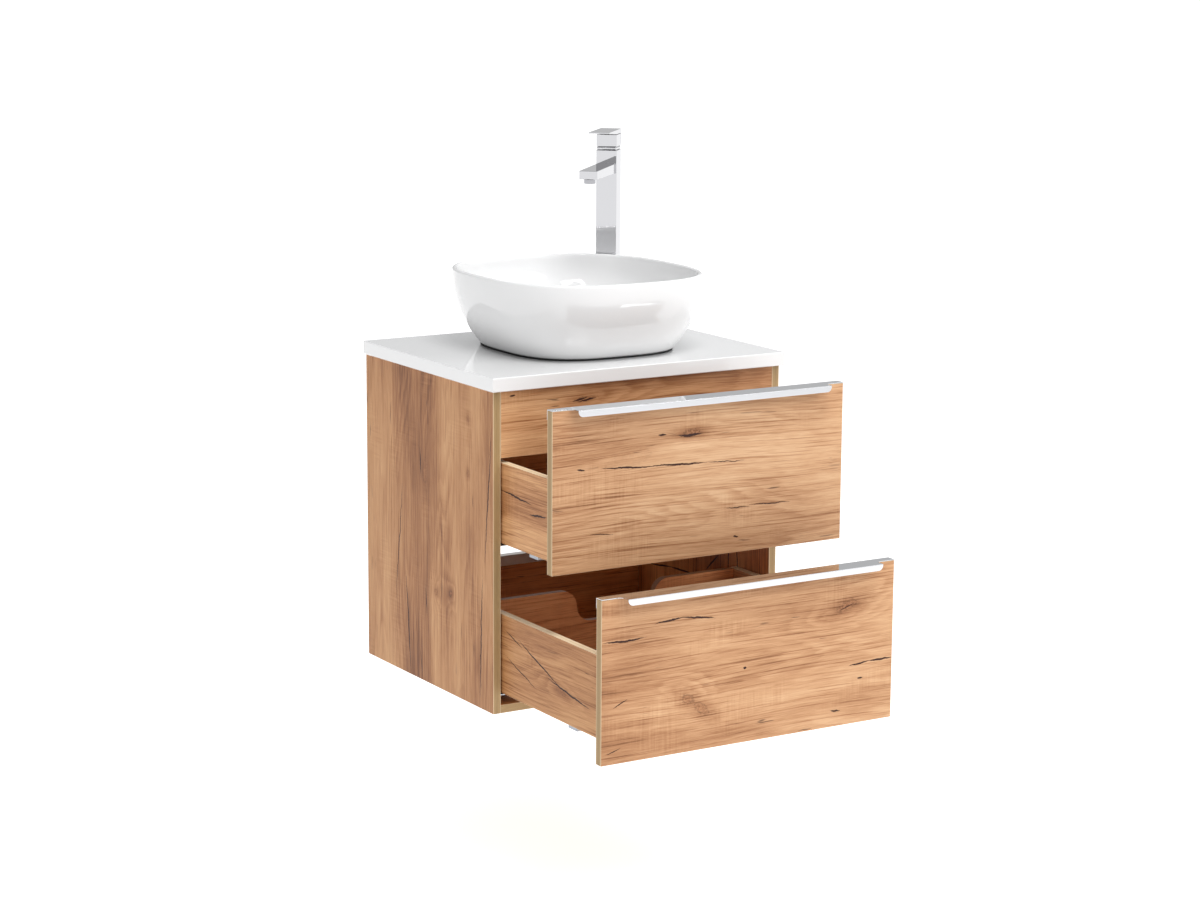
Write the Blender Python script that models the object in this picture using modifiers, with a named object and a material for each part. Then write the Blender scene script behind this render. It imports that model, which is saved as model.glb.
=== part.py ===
"""Wall-hung washstand: a two-drawer cabinet, a slab top, a bowl basin standing on it and a tall square mixer tap.

Metres. +Z up, the wall is the plane Y = 0 and the drawers open towards -Y. The origin is the middle of the rear
face of the hanging rail. Heights in the constants count from the underside of the cabinet unless they say otherwise."""

import math

import bmesh
import bpy

for old in list(bpy.data.objects):
    bpy.data.objects.remove(old, do_unlink=True)

# ---------------------------------------------------------------- driving dimensions
Z_BASE = -0.527  # underside of the cabinet, seen from the origin
GAP = 0.0003  # air between pieces that touch

CAB_W, CAB_D, CAB_H = 0.600, 0.4857, 0.5778
BOARD = 0.0150
EDGE = 0.0004  # eased edges of the boards
FASCIA_Z = 0.4595  # underside of the fixed fascia
BACK_FRONT_Y = -0.0320  # front face of the low back board
BACK_TOP = 0.1450
TIE_H, TIE_D, TIE_T = 0.0195, 0.0180, 0.0015
RAIL_H, RAIL_T = 0.1010, 0.0160
HANGER_T = 0.0177

TOP_W, TOP_D, TOP_T = 0.6126, 0.4955, 0.0246
TOP_Z = CAB_H + GAP + TOP_T

FRONT_W, FRONT_T = 0.5980, 0.0166
UPPER_FRONT = (0.2916, 0.5740)  # bottom and top of the drawer front
LOWER_FRONT = (0.0007, 0.2842)
UPPER_OPEN, LOWER_OPEN = 0.1847, 0.3474  # how far each drawer stands open
UPPER_BOX = (0.3075, 0.4510)  # bottom and top of the drawer sides
LOWER_BOX = (0.0365, 0.1805)
BOX_LEN = 0.4505
BOX_X = 0.2820  # outer face of the drawer sides
BOX_T = 0.0150
BOX_BACK_T = 0.0140
FLOOR_UP, FLOOR_T = 0.0125, 0.0060  # drawer bottom above the underside of the sides, and its thickness
CUT_X, CUT_HALF, CUT_R, CUT_DEPTH = 0.0070, 0.0830, 0.0300, 0.0605  # U cut-out in the lower drawer back

PULL_T, PULL_OUT, PULL_DROP, PULL_LEG = 0.0015, 0.0205, 0.0100, 0.0180
PULL_HALF, PULL_R, PULL_NOTCH_R = 0.2600, 0.0095, 0.0090

RUNNER_Y, RUNNER_LEN, CARRIAGE_LEN = -0.4700, 0.4350, 0.3800

BASIN_X, BASIN_Y = 0.0090, -0.2470
RIM_A, RIM_B, RIM_N, BASIN_H = 0.2074, 0.2250, 2.72, 0.1430  # half width, half depth, squareness
FOOT_A, FOOT_B, FOOT_N = 0.1590, 0.1670, 3.0
BULGE = 2.2  # how the wall runs from the foot to the rim
WALL, BASIN_FLOOR_T = 0.0085, 0.0180
GASKET_T, GASKET_SET_IN, GASKET_W = 0.0018, 0.0030, 0.0110
DRAIN_R = 0.0240
TAP_HOLE_R = 0.0175
RING_STEPS = 56

TAP_X, TAP_Y, TAP_TURN = 0.1943, -0.0550, math.radians(43.7)
TAP_HALF = 0.0200  # half the side of the square column; heights of the tap count from the slab
COLUMN_TOP, COLLAR_TOP, HEAD_TOP, LEVER_TOP = 0.3400, 0.3470, 0.3700, 0.3790
SPOUT_TOP, SPOUT_ROOT_T, SPOUT_TIP_T, SPOUT_W, SPOUT_REACH = 0.3150, 0.0195, 0.0160, 0.0345, 0.1780
LEVER_REACH, LEVER_TIP_T = 0.0860, 0.0026
LEVER_AXIS_Y, LEVER_AXIS_Z = 0.0175, 0.3485
AERATOR_R, AERATOR_H = 0.0110, 0.0080

FINISHES = {  # colour, roughness, metallic
    "oak_board": ((0.58, 0.36, 0.22), 0.50, 0.0),
    "gloss_white": ((0.86, 0.86, 0.87), 0.08, 0.0),
    "glaze_white": ((0.88, 0.88, 0.88), 0.06, 0.0),
    "chrome": ((0.80, 0.80, 0.82), 0.05, 1.0),
    "zinc_steel": ((0.60, 0.61, 0.63), 0.35, 1.0),
    "brass": ((0.72, 0.56, 0.28), 0.30, 1.0),
    "rubber": ((0.02, 0.02, 0.02), 0.80, 0.0),
    "grey_plastic": ((0.55, 0.58, 0.63), 0.45, 0.0),
    "white_plastic": ((0.80, 0.80, 0.79), 0.40, 0.0),
}


def z(height):
    """A height from the underside of the cabinet, as a height in the frame of the part."""
    return Z_BASE + height


# ---------------------------------------------------------------- collections, materials, placing
parts = bpy.data.collections.new("washstand")
cutters = bpy.data.collections.new("washstand_cutters")
bpy.context.scene.collection.children.link(parts)
bpy.context.scene.collection.children.link(cutters)


def finish(name):
    found = bpy.data.materials.get(name)
    if found:
        return found
    colour, roughness, metallic = FINISHES[name]
    made = bpy.data.materials.new(name)
    made.use_nodes = True
    shader = made.node_tree.nodes["Principled BSDF"]
    shader.inputs["Base Color"].default_value = (*colour, 1.0)
    shader.inputs["Roughness"].default_value = roughness
    shader.inputs["Metallic"].default_value = metallic
    return made


def put(name, data, location=(0, 0, 0), rotation=(0, 0, 0), parent=None, look=None, collection=None):
    obj = bpy.data.objects.new(name, data)
    obj.location = location
    obj.rotation_euler = rotation
    obj.parent = parent
    (collection or parts).objects.link(obj)
    if look:
        data.materials.append(finish(look))
    return obj


def axis_empty(name, location, rotation=(0, 0, 0), parent=None):
    empty = put(name, None, location, rotation, parent)
    empty.empty_display_size = 0.05
    return empty


def as_cutter(obj):
    parts.objects.unlink(obj)
    cutters.objects.link(obj)
    obj.hide_render = True
    obj.display_type = "WIRE"
    obj.data.materials.clear()
    return obj


# ---------------------------------------------------------------- shapes
def block(name, size, centre, look, parent=None, ease=EDGE, segments=1):
    """A box of the given size round its centre, with eased edges."""
    bm = bmesh.new()
    bmesh.ops.create_cube(bm, size=1.0)
    bmesh.ops.scale(bm, vec=size, verts=bm.verts)
    mesh = bpy.data.meshes.new(name)
    bm.to_mesh(mesh)
    bm.free()
    obj = put(name, mesh, centre, parent=parent, look=look)
    if ease:
        bevel = obj.modifiers.new("eased_edges", "BEVEL")
        bevel.width = ease
        bevel.segments = segments
        bevel.limit_method = "NONE"
    return obj


ALONG_X = (math.pi / 2, 0, math.pi / 2)  # outline in (Y, Z), thickness along X
ALONG_Y = (math.pi / 2, 0, 0)  # outline in (X, Z), thickness along Y
ALONG_Z = (0, 0, 0)  # outline in (X, Y), thickness along Z


def plate(name, outline, thickness, centre, direction, look, parent=None):
    """A flat outline given the thickness, as a filled curve. centre is where the outline's own 0, 0 lies."""
    curve = bpy.data.curves.new(name, "CURVE")
    curve.dimensions = "2D"
    curve.fill_mode = "BOTH"
    curve.extrude = thickness / 2
    spline = curve.splines.new("POLY")
    spline.points.add(len(outline) - 1)
    for point, (a, b) in zip(spline.points, outline):
        point.co = (a, b, 0, 1)
    spline.use_cyclic_u = True
    return put(name, curve, centre, direction, parent, look)


def as_mesh(obj):
    """The curve object made a welded mesh object, so that it can be cut."""
    bpy.context.view_layer.update()
    evaluated = obj.evaluated_get(bpy.context.evaluated_depsgraph_get())
    mesh = bpy.data.meshes.new_from_object(evaluated)
    bm = bmesh.new()
    bm.from_mesh(mesh)
    bmesh.ops.remove_doubles(bm, verts=bm.verts, dist=0.00001)
    bmesh.ops.recalc_face_normals(bm, faces=bm.faces)
    bm.to_mesh(mesh)
    bm.free()
    name, world = obj.name, obj.matrix_world.copy()
    bpy.data.objects.remove(obj, do_unlink=True)
    made = bpy.data.objects.new(name, mesh)
    made.matrix_world = world
    parts.objects.link(made)
    return made


def turned(name, profile, location, look, steps=32, parent=None, closed=False, smooth=True):
    """Turns a (radius, height) profile about the vertical. It runs down the outer side, from top to bottom."""
    mesh = bpy.data.meshes.new(name)
    edges = [(i, i + 1) for i in range(len(profile) - 1)]
    if closed:
        edges.append((len(profile) - 1, 0))
    mesh.from_pydata([(r, 0, h) for r, h in profile], edges, [])
    obj = put(name, mesh, location, parent=parent, look=look)
    screw = obj.modifiers.new("turned", "SCREW")
    screw.axis = "Z"
    screw.angle = 2 * math.pi
    screw.steps = steps
    screw.render_steps = steps
    screw.use_merge_vertices = True
    screw.merge_threshold = 0.00001
    screw.use_smooth_shade = smooth
    return obj


def cylinder_cutter(name, radius, depth, centre):
    bm = bmesh.new()
    bmesh.ops.create_cone(bm, cap_ends=True, segments=32, radius1=radius, radius2=radius, depth=depth)
    mesh = bpy.data.meshes.new(name)
    bm.to_mesh(mesh)
    bm.free()
    return as_cutter(put(name, mesh, centre))


def cut(obj, cutter):
    modifier = obj.modifiers.new(cutter.name, "BOOLEAN")
    modifier.operation = "DIFFERENCE"
    modifier.solver = "EXACT"
    modifier.object = cutter


def mirror_in_x(obj):
    """Adds the copy on the other side of the plane X = 0 of the part."""
    centre = bpy.data.objects.get("mirror_plane") or axis_empty("mirror_plane", (0, 0, 0))
    modifier = obj.modifiers.new("other_side", "MIRROR")
    modifier.use_axis = (True, False, False)
    modifier.mirror_object = centre
    modifier.merge_threshold = 0.00001


def arc(cx, cy, r, start, end, steps):
    """Points of an arc, in degrees."""
    angles = [math.radians(start + (end - start) * i / steps) for i in range(steps + 1)]
    return [(cx + r * math.cos(t), cy + r * math.sin(t)) for t in angles]


def superellipse(a, b, n, steps):
    points = []
    for i in range(steps):
        t = 2 * math.pi * i / steps
        c, s = math.cos(t), math.sin(t)
        points.append((a * math.copysign(abs(c) ** (2 / n), c), b * math.copysign(abs(s) ** (2 / n), s)))
    return points


def ring_loft(name, rings, location, look):
    """A loft through superellipse rings (half width, half depth, squareness, height), the last joined to the first."""
    bm = bmesh.new()
    rows = []
    for a, b, n, height in rings:
        rows.append([bm.verts.new((x, y, height)) for x, y in superellipse(a, b, n, RING_STEPS)])
    for first, second in zip(rows, rows[1:] + rows[:1]):
        for i in range(RING_STEPS):
            j = (i + 1) % RING_STEPS
            bm.faces.new((first[i], first[j], second[j], second[i]))
    bmesh.ops.recalc_face_normals(bm, faces=bm.faces)
    if bm.calc_volume(signed=True) < 0:
        bmesh.ops.reverse_faces(bm, faces=bm.faces)
    mesh = bpy.data.meshes.new(name)
    bm.to_mesh(mesh)
    bm.free()
    mesh.shade_smooth()
    mesh.set_sharp_from_angle(angle=math.radians(50))
    return put(name, mesh, location, look=look)


# ---------------------------------------------------------------- cabinet
HALF = CAB_W / 2
INNER = HALF - BOARD  # inner face of the side boards
SPAN = 2 * (INNER - GAP)  # length of the boards between them
SIDES = (("left", -1), ("right", 1))

for side, s in SIDES:
    block(f"side_panel_{side}", (BOARD, CAB_D, CAB_H), (s * (HALF - BOARD / 2), -CAB_D / 2, z(CAB_H / 2)), "oak_board")
block("bottom_panel", (SPAN, CAB_D, BOARD), (0, -CAB_D / 2, z(BOARD / 2)), "oak_board")
fascia_h = CAB_H - FASCIA_Z
block("front_fascia", (SPAN, BOARD, fascia_h), (0, -CAB_D + BOARD / 2, z(FASCIA_Z + fascia_h / 2)), "oak_board")
block("hanging_rail", (SPAN, RAIL_T, RAIL_H), (0, -RAIL_T / 2, z(CAB_H - RAIL_H / 2)), "oak_board")
back_h = BACK_TOP - BOARD - GAP
block(
    "back_panel_low", (SPAN, BOARD, back_h), (0, BACK_FRONT_Y + BOARD / 2, z(BACK_TOP - back_h / 2)), "oak_board"
)
plate(
    "rear_tie_angle",
    [(0, 0), (TIE_T, 0), (TIE_T, TIE_H - TIE_T), (TIE_D, TIE_H - TIE_T), (TIE_D, TIE_H), (0, TIE_H)],
    SPAN,
    (0, BACK_FRONT_Y, z(BACK_TOP + GAP)),
    ALONG_X,
    "zinc_steel",
)
for side, s in SIDES:
    plate(
        f"wall_hanger_{side}",
        [(-0.0435, 0.008), (-0.0435, 0.056), (-0.0295, 0.070), (0, 0.070), (0, 0), (-0.0275, 0)],
        HANGER_T,
        (s * (INNER - GAP - HANGER_T / 2), -RAIL_T - 0.0005, z(0.4920)),
        ALONG_X,
        "zinc_steel",
    )

# ---------------------------------------------------------------- slab top
top = block("countertop", (TOP_W, TOP_D, TOP_T), (0, -TOP_D / 2, z(TOP_Z - TOP_T / 2)), "gloss_white", ease=0.0012)
cut(top, cylinder_cutter("hole_for_waste", DRAIN_R, 3 * TOP_T, (BASIN_X, BASIN_Y, z(TOP_Z - TOP_T / 2))))
cut(top, cylinder_cutter("hole_for_tap", TAP_HOLE_R, 3 * TOP_T, (TAP_X, TAP_Y, z(TOP_Z - TOP_T / 2))))

# ---------------------------------------------------------------- basin and waste; ring heights count from the slab
gasket_rings = []
for set_in, height in ((0, 0), (0, GASKET_T), (GASKET_W, GASKET_T), (GASKET_W, 0)):
    set_in += GASKET_SET_IN
    gasket_rings.append((FOOT_A - set_in, FOOT_B - set_in, FOOT_N, height))
ring_loft("basin_gasket", gasket_rings, (BASIN_X, BASIN_Y, z(TOP_Z + GAP)), "rubber")

foot = GASKET_T + 2 * GAP


def wall_ring(t, set_in=0.0):
    """The outer wall at t, 0 at the foot and 1 at the rim, drawn in by set_in."""
    k = (1 - t) ** BULGE
    a = RIM_A - (RIM_A - FOOT_A) * k - set_in
    b = RIM_B - (RIM_B - FOOT_B) * k - set_in
    return a, b, RIM_N + (FOOT_N - RIM_N) * k


rings = []
for t in (0.0, 0.03, 0.08, 0.15, 0.24, 0.35, 0.48, 0.62, 0.76, 0.88, 0.965):
    rings.append((*wall_ring(t), foot + (BASIN_H - foot) * t))
for set_in, drop in ((0.0008, 0.0008), (0.0030, 0.0), (0.0060, 0.0005)):  # the rounded rim
    rings.append((*wall_ring(1.0, set_in), BASIN_H - drop))
inner_floor = foot + BASIN_FLOOR_T
bowl_h = BASIN_H - 0.004 - inner_floor
for t in (0.97, 0.86, 0.72, 0.57, 0.42, 0.29, 0.18, 0.10, 0.05, 0.02):
    a, b, n = wall_ring(max(t, 0.25), WALL)
    draw = 1 - 0.30 * (1 - t) ** 3
    rings.append((a * draw, b * draw, n, inner_floor + bowl_h * t))
drain = inner_floor - 0.0040
rings.append((0.0750, 0.0780, 2.3, inner_floor + 0.0004))
rings.append((0.0400, 0.0400, 2.0, inner_floor - 0.0030))
rings.append((DRAIN_R, DRAIN_R, 2.0, drain))
rings.append((DRAIN_R, DRAIN_R, 2.0, foot))
ring_loft("basin", rings, (BASIN_X, BASIN_Y, z(TOP_Z)), "glaze_white")

waste = axis_empty("waste_axis", (BASIN_X, BASIN_Y, z(TOP_Z + drain)))
throat = -(drain + TOP_T + 0.0300)
turned(
    "waste_flange",
    [
        (0.0190, 0.0040),
        (0.0300, 0.0040),
        (0.0300, 0.0030),
        (0.0225, 0.0024),
        (0.0222, 0.0006),
        (0.0222, throat),
        (0.0185, throat),
        (0.0185, 0.0030),
    ],
    (0, 0, 0),
    "chrome",
    parent=waste,
    closed=True,
)
turned(
    "waste_plug",
    [
        (0, 0.0108),
        (0.0150, 0.0104),
        (0.0290, 0.0092),
        (0.0310, 0.0075),
        (0.0290, 0.0060),
        (0.0060, 0.0060),
        (0.0060, -0.0400),
        (0, -0.0400),
    ],
    (0, 0, 0),
    "chrome",
    parent=waste,
)
under_slab = -(drain + TOP_T + GAP)
turned(
    "waste_tail",
    [
        (0.0155, under_slab - 0.0200),
        (0.0180, under_slab - 0.0200),
        (0.0180, under_slab - 0.0850),
        (0.0155, under_slab - 0.0850),
    ],
    (0, 0, 0),
    "white_plastic",
    parent=waste,
    closed=True,
)
turned(
    "waste_nut",
    [
        (0.0262, under_slab),
        (0.0370, under_slab),
        (0.0370, under_slab - 0.0110),
        (0.0262, under_slab - 0.0110),
    ],
    (0, 0, 0),
    "brass",
    steps=6,
    parent=waste,
    closed=True,
    smooth=False,
)

# ---------------------------------------------------------------- mixer tap, spout towards its own -Y
tap = axis_empty("tap_axis", (TAP_X, TAP_Y, z(TOP_Z)), (0, 0, -TAP_TURN))
S = 2 * TAP_HALF
block("tap_base_plate", (0.0480, 0.0480, 0.0042), (0, 0, GAP + 0.0021), "chrome", tap, 0.0008)
column_h = COLUMN_TOP - 0.0048
block("tap_column", (S, S, column_h), (0, 0, COLUMN_TOP - column_h / 2), "chrome", tap, 0.0010)
collar_h = COLLAR_TOP - COLUMN_TOP - 2 * GAP
block(
    "tap_collar", (S - 0.0012, S - 0.0012, collar_h), (0, 0, COLUMN_TOP + GAP + collar_h / 2), "chrome", tap, 0.0008
)
head_h = HEAD_TOP - COLLAR_TOP - 0.0002
block(
    "tap_head", (S - 0.0004, S - 0.0054, head_h), (0, -0.0025, COLLAR_TOP + head_h / 2), "chrome", tap, 0.0006
)
lever_axis = axis_empty("tap_lever_axis", (0, LEVER_AXIS_Y, LEVER_AXIS_Z), parent=tap)
underside = HEAD_TOP + 0.0006
lever_outline = [
    (-LEVER_REACH, LEVER_TOP),
    (-LEVER_REACH, LEVER_TOP - LEVER_TIP_T),
    (-TAP_HALF, underside),
    (TAP_HALF - 0.0046, underside),
    (TAP_HALF - 0.0046, COLLAR_TOP + 0.0004),
    (TAP_HALF - 0.0030, COLLAR_TOP + 0.0004),
    (TAP_HALF + 0.0008, COLLAR_TOP + 0.0060),
    (TAP_HALF + 0.0008, LEVER_TOP),
]
plate(
    "tap_lever",
    [(y - LEVER_AXIS_Y, height - LEVER_AXIS_Z) for y, height in lever_outline],
    S,
    (0, 0, 0),
    ALONG_X,
    "chrome",
    lever_axis,
)
root = TAP_HALF + GAP
plate(
    "tap_spout",
    [(-SPOUT_REACH, 0), (-SPOUT_REACH, -SPOUT_TIP_T), (-root, -SPOUT_ROOT_T), (-root, 0)],
    SPOUT_W,
    (0, 0, SPOUT_TOP),
    ALONG_X,
    "chrome",
    tap,
)
turned(
    "tap_aerator",
    [
        (0, AERATOR_H),
        (AERATOR_R, AERATOR_H),
        (AERATOR_R, 0.0008),
        (AERATOR_R - 0.0005, 0),
        (0.0085, 0),
        (0.0085, 0.0020),
        (0, 0.0020),
    ],
    (0, -(SPOUT_REACH - 0.0140), SPOUT_TOP - SPOUT_TIP_T - AERATOR_H - 0.0008),
    "chrome",
    24,
    tap,
)
turned("tap_shank", [(0, 0), (0.0160, 0), (0.0160, -0.0690), (0.0150, -0.0700), (0, -0.0700)], (0, 0, 0), "brass", 24, tap)
turned(
    "tap_nut",
    [(0.0190, 0.0114), (0.0280, 0.0114), (0.0280, 0), (0.0190, 0)],
    (0, 0, -TOP_T - 0.0120),
    "brass",
    6,
    tap,
    closed=True,
    smooth=False,
)


# ---------------------------------------------------------------- drawers
def edge_pull(level, front, drawer_axis):
    """An extruded section over the top edge of the front, with its ends notched back to the face."""
    lip = -FRONT_T - PULL_OUT
    section = [
        (0.0015, PULL_T - PULL_LEG),
        (0.0003, PULL_T - PULL_LEG),
        (0.0003, 0),
        (lip + PULL_T, 0),
        (lip + PULL_T, -PULL_DROP),
        (lip, -PULL_DROP),
        (lip, PULL_T),
        (0.0015, PULL_T),
    ]
    base = (drawer_axis.location.x, drawer_axis.location.y, z(front[1] + GAP))
    pull = as_mesh(plate(f"edge_pull_{level}", section, FRONT_W, base, ALONG_X, "chrome"))
    face = -FRONT_T - 0.0004
    out = FRONT_W / 2 + 0.01
    r = PULL_NOTCH_R
    notch = [(PULL_HALF, lip - 0.01), (PULL_HALF, face - r)]
    notch += arc(PULL_HALF + r, face - r, r, 180, 90, 6)[1:]
    notch += [(out, face), (out, lip - 0.01)]
    corner = arc(PULL_HALF - PULL_R, -PULL_DROP + PULL_R, PULL_R, -90, 0, 6)
    corner += [(out, -PULL_DROP + PULL_R), (out, -PULL_DROP - 0.01), (PULL_HALF - PULL_R, -PULL_DROP - 0.01)]
    for name, outline, thickness, centre, direction in (
        ("notch", notch, 0.06, base, ALONG_Z),
        ("corner", corner, 0.02, (base[0], base[1] + lip, base[2]), ALONG_Y),
    ):
        cutter = as_cutter(as_mesh(plate(f"{level}_{name}", outline, thickness, centre, direction, "chrome")))
        mirror_in_x(cutter)
        cut(pull, cutter)
    world = pull.matrix_world.copy()
    pull.parent = drawer_axis
    pull.matrix_parent_inverse = drawer_axis.matrix_world.inverted()
    pull.matrix_world = world
    return pull


def runner_section(points, s):
    """Turns (distance inwards from the side board, height) into (X, height) for the side s."""
    return [(s * (INNER - inwards), height) for inwards, height in points]


FIXED = [
    (GAP, -0.0180),
    (0.0018, -0.0180),
    (0.0018, -0.0085),
    (0.0460, -0.0085),
    (0.0460, 0.0100),
    (0.0448, 0.0100),
    (0.0448, -0.0071),
    (GAP, -0.0071),
]
CARRIAGE = [
    (0.0425, -0.0063),
    (0.0425, 0.0030),
    (0.0411, 0.0030),
    (0.0411, -0.0049),
    (0.0219, -0.0049),
    (0.0219, 0.0030),
    (0.0205, 0.0030),
    (0.0205, -0.0063),
]
UNDER_DRAWER = [
    (0.0435, 0.0038),
    (0.0421, 0.0038),
    (0.0421, 0.0104),
    (0.0209, 0.0104),
    (0.0209, 0.0038),
    (0.0195, 0.0038),
    (0.0195, 0.0120),
    (0.0435, 0.0120),
]


def drawer(level, opening, front, sides, clip_back, cut_back):
    """One drawer with its runners. Y counts from the back of the front, clip_back is where the clips start, and
    cut_back tells whether the back board has the U cut-out."""
    z0, z1 = sides
    height = z1 - z0
    axis = axis_empty(f"drawer_{level}_slide", (0, -CAB_D - opening, z(z0)))
    bpy.context.view_layer.update()
    front_h = front[1] - front[0]
    block(
        f"drawer_front_{level}",
        (FRONT_W, FRONT_T, front_h),
        (0, -FRONT_T / 2, front[0] + front_h / 2 - z0),
        "oak_board",
        axis,
    )
    edge_pull(level, front, axis)
    for side, s in SIDES:
        block(
            f"drawer_side_{level}_{side}",
            (BOX_T, BOX_LEN - GAP, height),
            (s * (BOX_X - BOX_T / 2), GAP + (BOX_LEN - GAP) / 2, height / 2),
            "oak_board",
            axis,
        )
    inner = BOX_X - BOX_T - GAP
    outline = [(-inner, FLOOR_UP), (inner, FLOOR_UP), (inner, height)]
    if cut_back:
        right, left, floor = CUT_X + CUT_HALF, CUT_X - CUT_HALF, height - CUT_DEPTH
        outline += arc(right + CUT_R, height - CUT_R, CUT_R, 90, 180, 8)
        outline += arc(right - CUT_R, floor + CUT_R, CUT_R, 0, -90, 8)[1:]
        outline += arc(left + CUT_R, floor + CUT_R, CUT_R, 270, 180, 8)
        outline += arc(left - CUT_R, height - CUT_R, CUT_R, 0, 90, 8)[1:]
    outline += [(-inner, height)]
    plate(
        f"drawer_back_{level}", outline, BOX_BACK_T, (0, BOX_LEN - BOX_BACK_T / 2, 0), ALONG_Y, "oak_board", axis
    )
    depth = BOX_LEN - BOX_BACK_T - 2 * GAP
    block(
        f"drawer_bottom_{level}",
        (2 * inner, depth, FLOOR_T),
        (0, GAP + depth / 2, FLOOR_UP + FLOOR_T / 2),
        "oak_board",
        axis,
        ease=0,
    )
    carriage_y = RUNNER_Y + 0.0020 - opening / 2
    carriage = axis_empty(f"carriage_{level}_slide", (0, carriage_y, z(z0)))
    under_len = BOX_LEN - 0.0060
    for side, s in SIDES:
        for name, points, length, y, parent, look in (
            ("fixed", FIXED, RUNNER_LEN, RUNNER_Y, None, "zinc_steel"),
            ("middle", CARRIAGE, CARRIAGE_LEN, 0, carriage, "zinc_steel"),
            ("drawer", UNDER_DRAWER, under_len, 0.0020, axis, "zinc_steel"),
        ):
            plate(
                f"runner_{name}_{level}_{side}",
                runner_section(points, s),
                length,
                (0, y + length / 2, 0 if parent else z(z0)),
                ALONG_Y,
                look,
                parent,
            )
        block(
            f"runner_clip_{level}_{side}",
            (0.0125, 0.0290, 0.0051),
            (s * (INNER - 0.01075), clip_back + 0.0145, -0.00295),
            "grey_plastic",
            axis,
            ease=0,
        )


drawer("upper", UPPER_OPEN, UPPER_FRONT, UPPER_BOX, 0.0624, False)
drawer("lower", LOWER_OPEN, LOWER_FRONT, LOWER_BOX, 0.0916, True)
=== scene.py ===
"""The looks of the washstand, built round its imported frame. Metres, +Z up, wall at Y = 0, drawers open towards -Y."""

import math

import bmesh
import bpy
from mathutils import Matrix, Vector


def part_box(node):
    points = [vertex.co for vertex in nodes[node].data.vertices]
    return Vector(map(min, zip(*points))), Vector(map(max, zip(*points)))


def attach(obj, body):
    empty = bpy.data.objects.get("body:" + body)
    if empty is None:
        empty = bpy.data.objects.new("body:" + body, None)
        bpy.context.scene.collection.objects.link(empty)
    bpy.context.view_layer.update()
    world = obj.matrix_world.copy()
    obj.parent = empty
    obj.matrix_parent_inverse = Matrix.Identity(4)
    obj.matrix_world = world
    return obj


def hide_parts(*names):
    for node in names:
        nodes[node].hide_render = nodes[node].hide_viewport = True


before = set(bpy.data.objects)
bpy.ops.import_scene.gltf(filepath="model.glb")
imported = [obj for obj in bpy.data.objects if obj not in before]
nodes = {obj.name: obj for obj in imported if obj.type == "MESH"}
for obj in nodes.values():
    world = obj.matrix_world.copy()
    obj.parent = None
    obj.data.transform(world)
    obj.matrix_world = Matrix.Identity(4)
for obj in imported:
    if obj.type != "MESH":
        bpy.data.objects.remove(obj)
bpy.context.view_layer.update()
scene = bpy.context.scene

# ------------------------------------------------------------------ camera
YAW, PITCH, ROLL = math.radians(31.313), math.radians(10.913), math.radians(0.354)
CAM_AT = Vector((-2.7348, -4.8450, 0.9120))
ahead = Vector((math.sin(YAW) * math.cos(PITCH), math.cos(YAW) * math.cos(PITCH), -math.sin(PITCH)))
flat_right = Vector((math.cos(YAW), -math.sin(YAW), 0))
flat_up = flat_right.cross(ahead)
cam_right = flat_right * math.cos(ROLL) + flat_up * math.sin(ROLL)
cam_up = flat_up * math.cos(ROLL) - flat_right * math.sin(ROLL)
cam_data = bpy.data.cameras.new("camera")
cam_data.lens, cam_data.sensor_width = 87.87, 36.0
cam_data.clip_start, cam_data.clip_end = 0.05, 100
camera = bpy.data.objects.new("camera", cam_data)
camera.matrix_world = Matrix(
    (
        (cam_right.x, cam_up.x, -ahead.x, CAM_AT.x),
        (cam_right.y, cam_up.y, -ahead.y, CAM_AT.y),
        (cam_right.z, cam_up.z, -ahead.z, CAM_AT.z),
        (0, 0, 0, 1),
    )
)
scene.collection.objects.link(camera)
scene.camera = camera

scene.view_settings.view_transform = "Standard"
scene.view_settings.look = "None"
scene.view_settings.exposure = 0
scene.view_settings.gamma = 1


def srgb(r, g, b):
    """Screen colour, 0 to 255, to linear."""
    out = []
    for c in (r, g, b):
        c /= 255
        out.append(c / 12.92 if c <= 0.04045 else ((c + 0.055) / 1.055) ** 2.4)
    return (*out, 1.0)


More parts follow.
